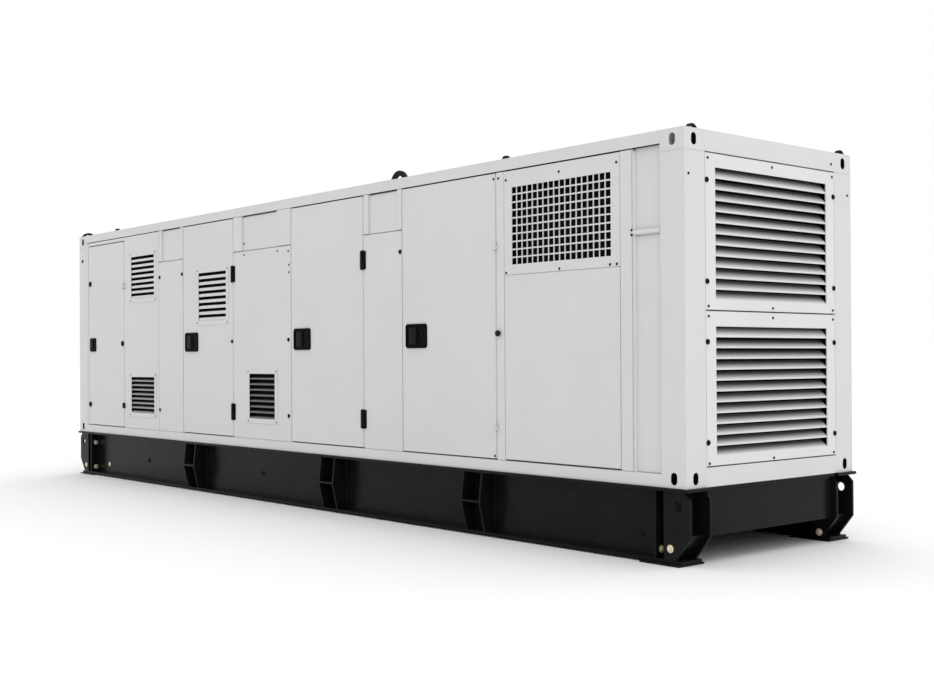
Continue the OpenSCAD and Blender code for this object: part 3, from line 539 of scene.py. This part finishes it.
def makeOvalLinings():
    # a cup with the hole's own outline: inner wall, rim, outer wall
    deep, wall, clear = oval["deepMm"], oval["wallMm"], oval["clearMm"]
    section = np.array([(-wall, wall - deep), (-wall, -wall), (-clear, -wall), (-clear, -deep)]) * mm
    radius = oval["widthMm"] / 2.001 * mm  # a hair under half the width, so that no two points meet
    loop = roundedLoop(oval["widthMm"] * mm, oval["heightMm"] * mm, radius, 8)
    cup = carriedRound(section, loop)
    low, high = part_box("corner_posts")
    heights = [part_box("corner_castings")[1].z - oval["topDropMm"] * mm, low.z + oval["footRiseMm"] * mm]
    edge = oval["edgeMm"] * mm
    upper, lower = [placed(cup, [(high.x - edge, low.y, z)], toFront) for z in heights]
    end = placed(cup, [(high.x, low.y + edge, z) for z in heights], toEnd)
    farUpper = mirrored(upper, endward)
    # the black cups are painted shade in the hollows behind the holes
    putPiece("oval_linings", withRear(joined(withFarEnd(joined(lower, end)), farUpper)), screenClothAndShade)
    # the near side ones are lined in mid grey instead: painted light inside them
    putPiece("upper_oval_linings", withRear(upper), paintedShadeGrey)  # the near ones catch the light


makeOvalLinings()
print("ovals lined")


# Paddle latches, in place of the plain solids

# shares and places are parts of the latch's width and height, and the key's are parts of the lock's radius
latch = {"ringMm": 18, "outMm": 12, "radiusMm": 24, "edgeMm": 4, "edgeCutMm": (1.2, 1.4), "lipMm": (3, 1),
         "panMm": 5, "panLapMm": 1, "paddleMm": 13, "paddleShare": (0.36, 0.7), "paddleAt": -0.13,
         "slotMm": 2, "slotShare": (0.1, 0.55), "slotAt": 0.12, "lockAt": (0.3, 0.05), "lockMm": 15,
         "keyShare": (0.18, 0.8, 0.2), "keyAt": 0.25, "screwAt": (0.36, -0.36), "screwMm": (5, 3)}


def latchShapes(width, height):
    # case: a rounded ring round a sunk pan; paddle: a crowned slab;
    # lock: a turned barrel and a small screw
    ring, out, edge, panTop = latch["ringMm"], latch["outMm"], latch["edgeMm"], latch["panMm"] * mm
    cutIn, cutDown = latch["edgeCutMm"]
    lipTo, lipCut = latch["lipMm"]
    section = np.array([(0, 0), (0, out - edge), (-cutIn, out - cutDown), (-edge, out),
                        (lipTo - ring, out), (lipCut - ring, out - cutDown), (-ring, out - edge),
                        (-ring, 0)]) * mm
    surround = carriedRound(section, roundedLoop(width, height, latch["radiusMm"] * mm), True)
    border = 2 * (ring - latch["panLapMm"]) * mm
    pan = crownedSlab(width - border, height - border, panTop, sharpness=30)
    slotWide, slotHigh = latch["slotShare"]
    slot = crownedSlab(slotWide * width, slotHigh * height, latch["slotMm"] * mm, sharpness=8)
    case = joined(surround, pan, placed(slot, [(latch["slotAt"] * width, 0, panTop)]))
    paddleWide, paddleHigh = latch["paddleShare"]
    paddle = crownedSlab(paddleWide * width, paddleHigh * height, latch["paddleMm"] * mm, sharpness=5)
    paddle = placed(paddle, [(latch["paddleAt"] * width, 0, panTop)])
    radius = latch["lockMm"] * mm
    profile = np.array([(1, 0), (1, 0.35), (0.9, 0.45), (0.62, 0.45), (0.56, 0.3)])
    barrel = carriedRound(profile * radius, circleLoop(28))
    key = crownedSlab(*np.array(latch["keyShare"]) * radius, sharpness=8, steps=9)
    lockAt, screwAt = [np.array([*latch[part], 0]) * [width, height, 0] + [0, 0, panTop]
                       for part in ("lockAt", "screwAt")]
    lock = joined(placed(barrel, lockAt), placed(key, lockAt + [0, 0, latch["keyAt"] * radius]),
                  placed(screwHead(*latch["screwMm"]), screwAt))
    return case, paddle, lock


def makeLatches():
    rearShapes = [[], [], []]
    for door in doorNames:
        low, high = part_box(door + "_latch")
        middle = [((low.x + high.x) / 2, high.y, (low.z + high.z) / 2)]
        shapes = [placed(shape, middle, toFront) for shape in latchShapes(high.x - low.x, high.z - low.z)]
        case = slotPiece(door + "_latch_case", shapes[0], "latch_plastic", door)
        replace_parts(case, door + "_latch")
        putPiece(door + "_latch_paddle", shapes[1], paddleNylon, door)
        slotPiece(door + "_latch_lock", shapes[2], "black_steel", door)
        for kept, shape in zip(rearShapes, shapes):
            kept.append(mirrored(shape))
    case, paddle, lock = [joined(*kept) for kept in rearShapes]
    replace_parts(slotPiece("rear_latch_cases", case, "latch_plastic"), "rear_latches")
    putPiece("rear_latch_paddles", paddle, paddleNylon)
    slotPiece("rear_latch_locks", lock, "black_steel")


# Screws and bolts, all turned about their own axis

def screwHead(radiusMm, heightMm):
    # a button head with a sunk socket
    profile = np.array([(1, 0), (1, 0.35), (0.86, 0.75), (0.55, 1), (0.48, 1), (0.42, 0.45)])
    return carriedRound(profile * [radiusMm, heightMm] * mm, circleLoop(16))


def hexBolt(radiusMm, heightMm):
    # a washer under a six-sided head with its corners turned off
    washer = np.array([(1.7, 0), (1.7, 0.2), (1.6, 0.3)]) * [radiusMm, heightMm] * mm
    head = np.array([(1, 0), (1, 0.8), (0.84, 1)]) * [radiusMm, heightMm] * mm
    return joined(carriedRound(washer, circleLoop(24)), carriedRound(head, circleLoop(6)))


screws = {
    "headMm": (9, 5), "strikeMm": (18, 9), "catchMm": (30, 14), "ventHeadMm": (7, 4), "ventCornerMm": 23,
    # places on the door side as (x, z) in mm: plain screws, strikes beside the doors, and catches
    "enclosure": [(-773, 2359), (-773, 2255), (-199, 2251), (-20, 2240), (-9, 2119), (-11, 2053),
                  (2820, 2545), (3351, 2545), (3874, 2545), (2820, 1890), (3351, 1890), (3815, 1890),
                  (3874, 1890), (2741, 2568)],
    "door_d": [(2690, 2568), (2690, 2107), (2690, 589)],
    "enclosureStrikes": [(-4343, 2417), (-2455, 2135), (-2455, 776), (-1975, 2143), (-20, 1460),
                         (-20, 789), (1592, 2123)],
    "door_bStrikes": [(-996, 1458)], "door_aCatches": [(-4138, 2147), (-4138, 794), (-3316, 1467)],
    # places on the end as (y, z) in mm
    "end": [(-865, 2414), (865, 2414), (669, 2616)]
           + [(y, z) for y in (-678, -12, 678) for z in (2528, 1604, 1541, 625)],
    "bigEnd": [(y, z) for y in (-690, 690) for z in (2390, 1758, 1382, 755)],
}


def ventCorners(x, z, width, height, _):
    # the opening's middle, plus or minus half its size and the screws' distance from its edge
    edge = screws["ventCornerMm"]
    return [(x + i * (width / 2 + edge), z + j * (height / 2 + edge)) for i in (-1, 1) for j in (-1, 1)]


def makeScrews():
    heads = ("headMm", "strikeMm", "catchMm", "ventHeadMm")
    small, strike, catch, tiny = [screwHead(*screws[head]) for head in heads]
    wallCorners = sum([ventCorners(*values) for values in wallVents.values()], [])
    doorCorners = ventCorners(*doorVent)

    def onWall(head, spots, outMm=0):
        return placed(head, onSide(spots, outMm), toFront)

    bySide = {
        "door_a": onWall(catch, screws["door_aCatches"]),
        "door_b": joined(onWall(strike, screws["door_bStrikes"]),
                         onWall(tiny, doorCorners, vent["plateMm"])),
        "door_d": onWall(small, screws["door_d"]),
    }
    fixed = joined(onWall(small, screws["enclosure"]), onWall(strike, screws["enclosureStrikes"]),
                   onWall(tiny, wallCorners, vent["plateMm"]))
    for body, shape in bySide.items():
        slotPiece(body + "_screws", shape, "black_steel", body)
    rear = mirrored(joined(fixed, *bySide.values()))
    ends = joined(placed(small, onEnd(screws["end"]), toEnd),
                  placed(strike, onEnd(screws["bigEnd"]), toEnd))
    slotPiece("wall_screws", joined(fixed, rear, withFarEnd(ends)), "black_steel")


makeLatches()
makeScrews()
print("latches and screws made")


# Doors: edge trims, frames behind them with seals, foam linings, hinge caps

doorEdge = {"gapMm": 10, "trimMm": 7, "trimBackMm": 2, "trimDeepMm": 12, "sealMm": 2.4, "sealInMm": 26,
            "frameInMm": 34, "legMm": 2, "legFromMm": 40, "lipMm": 3, "standOffMm": 5,
            "foamInMm": 60, "foamMm": 28}


def makeDoorEdges():
    gap, trim = doorEdge["gapMm"] * mm, doorEdge["trimMm"] * mm
    back = panelMm + doorEdge["standOffMm"]
    leg, start, inner, lip = [doorEdge[key] for key in ("legMm", "legFromMm", "frameInMm", "lipMm")]
    # an angle round the opening, one leg on the jamb and the other behind the door;
    # the seal is a round bead on the second leg
    angle = np.array([(0, -start), (-leg, -start), (-leg, -back), (-inner, -back), (-inner, -back - lip),
                      (0, -back - lip)]) * mm
    radius = doorEdge["sealMm"]
    bead = (circleLoop(10)[1] * radius + [-doorEdge["sealInMm"], radius - back]) * mm
    frames, seals = [], []
    for door in doorNames:
        low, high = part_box(door + "_leaf")
        width, height = high.x - low.x, high.z - low.z
        middle = np.array([(low.x + high.x) / 2, low.y, (low.z + high.z) / 2])
        loop = mitredLoop(width + 2 * gap, height + 2 * gap)
        frames.append(placed(carriedRound(angle, loop, True), middle, toFront))
        seals.append(placed(carriedRound(bead, loop, True), middle, toFront))
        strip = crownedSlab(trim, height, doorEdge["trimDeepMm"] * mm, sharpness=8)
        rest = low.y + (doorEdge["trimBackMm"] + doorEdge["trimDeepMm"]) * mm
        edges = [(low.x - trim / 2, rest, middle[2]), (high.x + trim / 2, rest, middle[2])]
        slotPiece(door + "_edge_trims", placed(strip, edges, toFront), "enclosure_paint", door)
    # heads and sills are painted rubber black as painted shade, so that the gaps over and under a door look
    # dark;
    # the last door's middle and height do for all four
    piece = slotPiece("door_frames", joined(*frames), "enclosure_paint")
    secondFinish(piece.data, sealRubberAndGapShade, lambda at: abs(at[:, 2] - middle[2]) > height / 3)
    putPiece("door_seals", joined(*seals), sealRubberAndGapShade)


# foam on the wall between the bays' posts, as (from x, to x, from z, to z) in mm
foamFields = {"ventPanel": (-3240, -2510, 1150, 1890), "firstPost": (-2450, -1990, 620, 2560),
              "servicePanel": (-930, -20, 1210, 2270), "secondPost": (1140, 1580, 620, 2560),
              "radiatorPanel": (2830, 3870, 620, 1840)}
rearFoam = {"firstDoor": (-4150, -3315, 620, 2500), "secondDoor": (-1916, -1010, 620, 1620),
            "thirdDoor": (60, 1064, 620, 2560), "fourthDoor": (1654, 2674, 620, 2560)}
ceilingFoam = {"marginMm": 60, "endMm": 100, "thickMm": 12}


def foamSlab(fromX, toX, fromZ, toZ):
    # a crowned slab on the back of the panel, over the field between these limits in mm
    slab = crownedSlab((toX - fromX) * mm, (toZ - fromZ) * mm, doorEdge["foamMm"] * mm, sharpness=30)
    return placed(slab, onSide([((fromX + toX) / 2, (fromZ + toZ) / 2)], -panelMm), toInside)


def makeFoam():
    for door in doorNames:
        low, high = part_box(door + "_leaf")
        inset = (doorEdge["foamInMm"] - doorEdge["gapMm"]) * mm
        top = high.z - inset
        if door == "door_b":
            top = (doorVent[1] - doorVent[3] / 2 - 2 * screen["lapMm"]) * mm
        field = np.array([low.x + inset, high.x - inset, low.z + inset, top]) / mm
        putPiece(door + "_foam", foamSlab(*field), acousticFoam, door)
    front = joined(*[foamSlab(*field) for field in foamFields.values()])
    rear = mirrored(joined(*[foamSlab(*field) for field in rearFoam.values()]))
    low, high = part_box("roof_panel")
    margin, ends = 2 * ceilingFoam["marginMm"] * mm, 2 * ceilingFoam["endMm"] * mm
    ceiling = crownedSlab(high.x - low.x - margin - ends, high.y - low.y - margin,
                          ceilingFoam["thickMm"] * mm, sharpness=60)
    ceiling = placed(ceiling, [(0, 0, low.z)], toFloor)
    putPiece("wall_foam", joined(withRear(front), rear, ceiling), acousticFoam)


hingeCap = {"radiusMm": 12, "capMm": 6, "domeRad": 1.35, "spacingMm": 1288}


def makeHingeCaps():
    # a low dome at each end of a hinge: radius cos t, height sin t
    t = np.linspace(0, hingeCap["domeRad"], 6)
    section = np.stack([hingeCap["radiusMm"] * np.cos(t), hingeCap["capMm"] * np.sin(t)], -1)
    dome = carriedRound(section * mm, circleLoop(20))
    spacing = hingeCap["spacingMm"] * mm
    for joint in frame["record"]["behaviour"]["joints"]:
        door = joint["child"]
        x, y, _ = joint["pos_m"]
        low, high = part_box(door + "_hinges")
        upper = placed(dome, [(x, y, high.z), (x, y, high.z - spacing)])
        lower = placed(dome, [(x, y, low.z), (x, y, low.z + spacing)], toFloor)
        slot = "enclosure_paint" if door == "door_d" else "black_steel"
        slotPiece(door + "_hinge_caps", upper, slot, door)
        slotPiece(door + "_fixed_caps", joined(lower, mirrored(joined(upper, lower))), slot)


makeDoorEdges()
makeFoam()
makeHingeCaps()
print("door edges and foam made")


# Small fittings: strap in the corner bay, door stop, roof studs, skid bolts, web plugs, weld beads

# sizes and places in mm: two numbers are x and z on a face, three are x, y and z
fittings = {"strapMm": (240, 26, 3), "strapAt": (4114, 2081), "strapScrews": [(4005, 2096), (4005, 2066)],
            "sealantMm": (0.5, 25, 14), "cornerBay": (4007, 560, 2600),
            "stopMm": (22, 26), "stopAt": (2742, 1464),
            "studMm": (48, 34, 26), "studsX": (-3500, 2792), "studInMm": 30,
            "boltMm": (15, 12), "lugBolt": (4292, 103), "cheekBolt": (4305, -682, 60),
            "rightPlateBolt": (4176, -838, 85), "leftPlateBolts": [(-4160, -838, 85), (-4160, -838, 359)],
            "leftWebBolt": (-3875, 126), "webMm": 802.5,
            "plugMm": (20, 9), "plugs": [(-2912, 225), (-624, 240), (3981, 155)]}


def makeFittings():
    width, height, thick = fittings["strapMm"]
    strap = placed(crownedSlab(width * mm, height * mm, thick * mm, sharpness=14),
                   onSide([fittings["strapAt"]]), toFront)
    slotPiece("corner_straps", withRear(strap), "enclosure_paint")
    heads = placed(screwHead(*screws["headMm"]), onSide(fittings["strapScrews"], thick), toFront)
    slotPiece("strap_screws", withRear(heads), "black_steel")

    # a painted run of sealant up the inner corner of the recessed bay, three-cornered in section
    outer, deep, width = fittings["sealantMm"]
    x, fromZ, toZ = fittings["cornerBay"]
    run = carriedAlong(np.array([(outer, 0), (deep, 0), (deep, width)]) * mm, (toZ - fromZ) * mm)
    run = placed(run, onSide([(x, (fromZ + toZ) / 2)]), upright)
    slotPiece("corner_sealant", withRear(run), "enclosure_paint")

    radius, out = fittings["stopMm"]
    profile = np.array([(0.6, 0), (0.6, 0.3), (1, 0.42), (1, 0.8), (0.9, 0.95), (0.7, 1)])
    knob = carriedRound(profile * [radius, out] * mm, circleLoop(28))
    stop = placed(knob, onSide([fittings["stopAt"]]), toFront)
    putPiece("door_stops", withRear(stop), sealRubberAndGapShade)

    width, deep, tall = fittings["studMm"]
    stud = crownedSlab(width * mm, deep * mm, tall * mm, sharpness=4)
    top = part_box("top_rails")[1].z
    studs = placed(stud, [(x * mm, faceY + fittings["studInMm"] * mm, top) for x in fittings["studsX"]])
    slotPiece("roof_studs", withRear(studs), "black_steel")

    bolt = hexBolt(*fittings["boltMm"])
    x, z = fittings["lugBolt"]
    onLug = placed(bolt, [(x * mm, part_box("lifting_lugs")[0].y, z * mm)], toFront)
    onCheek = placed(bolt, np.array(fittings["cheekBolt"]) * mm, toInside)
    webY = -fittings["webMm"] * mm
    x, z = fittings["leftWebBolt"]
    onPlates = joined(placed(bolt, np.array(fittings["rightPlateBolt"]) * mm, toEnd),
                      placed(bolt, np.array(fittings["leftPlateBolts"]) * mm, toEnd),
                      placed(bolt, [(x * mm, webY, z * mm)], toFront))
    # the bolts' pale colour is partly painted highlight
    putPiece("skid_bolts", withRear(joined(withFarEnd(joined(onLug, onCheek)), onPlates)), yellowZincAndHighlight)

    radius, out = fittings["plugMm"]
    profile = np.array([(1, 0), (1, 0.5), (0.85, 1), (0.6, 1), (0.5, 0.4)])
    plug = carriedRound(profile * [radius, out] * mm, circleLoop(24))
    plugs = placed(plug, [(x * mm, webY, z * mm) for x, z in fittings["plugs"]], toFront)
    putPiece("web_plugs", withRear(plugs), sealRubberAndGapShade)


welds = {"pairsX": (-1790, 595, 2455), "pitchMm": 201, "plateMm": 16, "cornerX": 4168, "fromZ": 34,
         "toZ": 458, "radiusMm": 5, "rippleMm": 14, "castingMm": 190, "castingBeadMm": 4, "sharpDeg": 60}


def makeWelds():
    # a bead up both sides of every stiffener, where it meets the web
    middles = [x + side * welds["pitchMm"] / 2 for x in welds["pairsX"] for side in (-1, 1)]
    middles += [-welds["cornerX"], welds["cornerX"]]
    webY, ripple, sharpDeg = -fittings["webMm"] * mm, welds["rippleMm"] * mm, welds["sharpDeg"]
    bead = weldBead((0, webY, welds["fromZ"] * mm), (0, webY, welds["toZ"] * mm),
                    welds["radiusMm"] * mm, ripple)
    places = [((x + side * welds["plateMm"] / 2) * mm, 0, 0) for x in middles for side in (-1, 1)]
    slotPiece("stiffener_welds", withRear(placed(bead, places)), "skid_paint", sharpDeg=sharpDeg)
    # the castings' welds on the posts, along the side and the end
    low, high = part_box("corner_posts")
    z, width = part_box("corner_castings")[0].z, welds["castingMm"] * mm
    radius, corner = welds["castingBeadMm"] * mm, (high.x, low.y, z)
    along = weldBead((high.x - width, low.y, z), corner, radius, ripple)
    across = weldBead(corner, (high.x, low.y + width, z), radius, ripple)
    beads = withFarEnd(withRear(joined(along, across)))
    slotPiece("casting_welds", beads, "enclosure_paint", sharpDeg=sharpDeg)


makeFittings()
makeWelds()
print("fittings made")


# Camera: fitted to the photograph's own edges, given in its 934 pixel wide frame

photoCamera = {"focalPx": 1251.18, "widthPx": 934, "sensorMm": 36.0, "place": (9.3512, -6.8776, 1.2892),
               "yawDeg": 49.384, "pitchDeg": 0.370, "rollDeg": -0.326, "clipM": 1000}


def makeCamera(camera):
    # yaw turns the view about the upright, pitch lifts it, and roll tilts right and up about it
    yaw, pitch, roll = [math.radians(camera[key]) for key in ("yawDeg", "pitchDeg", "rollDeg")]
    ahead = np.array([-math.sin(yaw) * math.cos(pitch), math.cos(yaw) * math.cos(pitch), math.sin(pitch)])
    right = np.array([math.cos(yaw), math.sin(yaw), 0])
    up = np.cross(right, ahead)
    tiltedRight = right * math.cos(roll) + up * math.sin(roll)
    tiltedUp = up * math.cos(roll) - right * math.sin(roll)
    data = bpy.data.cameras.new("photoCamera")
    data.sensor_fit = "HORIZONTAL"
    data.sensor_width = camera["sensorMm"]
    data.lens = camera["focalPx"] / camera["widthPx"] * camera["sensorMm"]
    data.clip_end = camera["clipM"]
    eye = bpy.data.objects.new("photoCamera", data)
    columns = np.column_stack([tiltedRight, tiltedUp, -ahead, camera["place"]])
    eye.matrix_world = Matrix(np.vstack([columns, [0, 0, 0, 1]]).tolist())
    bpy.context.scene.collection.objects.link(eye)
    bpy.context.scene.camera = eye


makeCamera(photoCamera)


# Stage: pale floor, white background, soft light

studio = {"floorHalfM": 150, "floorDropMm": 1, "floorColour": "#DFDFDF", "floorRoughness": 0.9,
          "floorSpecular": 0.1, "skylineStrength": 0.41, "zenithStrength": 1.785}
broadSun = {"place": (-3, 7, 10), "strength": 0.5, "widthDeg": 60}
endSoftbox = {"place": (16, -3, 5), "target": (4.4, 0, 1.4), "sizeM": (8, 6), "power": 220}


def makeFloor():
    half, level = studio["floorHalfM"], -studio["floorDropMm"] * mm
    mesh = bpy.data.meshes.new("studioFloor")
    corners = [(x * half, y * half, level) for x, y in ((-1, -1), (1, -1), (1, 1), (-1, 1))]
    mesh.from_pydata(corners, [], [(0, 1, 2, 3)])
    floor = bpy.data.objects.new("studioFloor", mesh)
    bpy.context.scene.collection.objects.link(floor)
    material = bpy.data.materials.new("paleStudioFloor")
    material.use_nodes = True
    shader = material.node_tree.nodes["Principled BSDF"]
    shader.inputs["Base Color"].default_value = linear(studio["floorColour"])
    shader.inputs["Roughness"].default_value = studio["floorRoughness"]
    shader.inputs["Specular IOR Level"].default_value = studio["floorSpecular"]
    mesh.materials.append(material)


def makeWorld():
    # white where the camera, a mirror or glass looks at it;
    # the light itself is a dome that brightens with height
    world = bpy.data.worlds.new("studioDome")
    bpy.context.scene.world = world
    world.use_nodes = True
    tree = world.node_tree
    tree.nodes.clear()
    path = addNode(tree, "ShaderNodeLightPath")
    seen = path.outputs["Is Camera Ray"]
    for kind in ("Is Glossy Ray", "Is Transmission Ray"):
        links = {0: seen, 1: path.outputs[kind]}
        seen = addNode(tree, "ShaderNodeMath", links=links, operation="MAXIMUM").outputs[0]
    direction = addNode(tree, "ShaderNodeTexCoord").outputs["Generated"]
    height = addNode(tree, "ShaderNodeSeparateXYZ", links={"Vector": direction}).outputs["Z"]
    limits = {"To Min": studio["skylineStrength"], "To Max": studio["zenithStrength"]}
    strength = addNode(tree, "ShaderNodeMapRange", limits, {"Value": height}).outputs["Result"]
    dome = addNode(tree, "ShaderNodeBackground", {"Color": (1, 1, 1, 1)}, {"Strength": strength})
    white = addNode(tree, "ShaderNodeBackground", {"Color": (1, 1, 1, 1), "Strength": 1.0})
    mixed = addNode(tree, "ShaderNodeMixShader", links={0: seen, 1: dome.outputs[0], 2: white.outputs[0]})
    addNode(tree, "ShaderNodeOutputWorld", links={"Surface": mixed.outputs[0]})


def addSoftbox(name, place, target, sizeM, power):
    # a large soft lamp that looks from its place at its target
    data = bpy.data.lights.new(name, "AREA")
    data.shape = "RECTANGLE"
    data.size, data.size_y = sizeM
    data.energy = power
    lamp = bpy.data.objects.new(name, data)
    ahead = np.array(target, float) - np.array(place, float)
    lamp.rotation_euler = Vector(ahead).to_track_quat("-Z", "Y").to_euler()
    lamp.location = place
    bpy.context.scene.collection.objects.link(lamp)


def addBroadSun(place, strength, widthDeg):
    # a wide soft source behind the set, so that its shadow lies towards the camera
    data = bpy.data.lights.new("broadSun", "SUN")
    data.energy = strength
    data.angle = math.radians(widthDeg)
    lamp = bpy.data.objects.new("broadSun", data)
    lamp.rotation_euler = Vector(place).to_track_quat("Z", "Y").to_euler()
    bpy.context.scene.collection.objects.link(lamp)


makeFloor()
makeWorld()
addBroadSun(**broadSun)
addSoftbox("endSoftbox", **endSoftbox)
bpy.context.scene.view_settings.view_transform = "Standard"
print("camera, floor and light set")
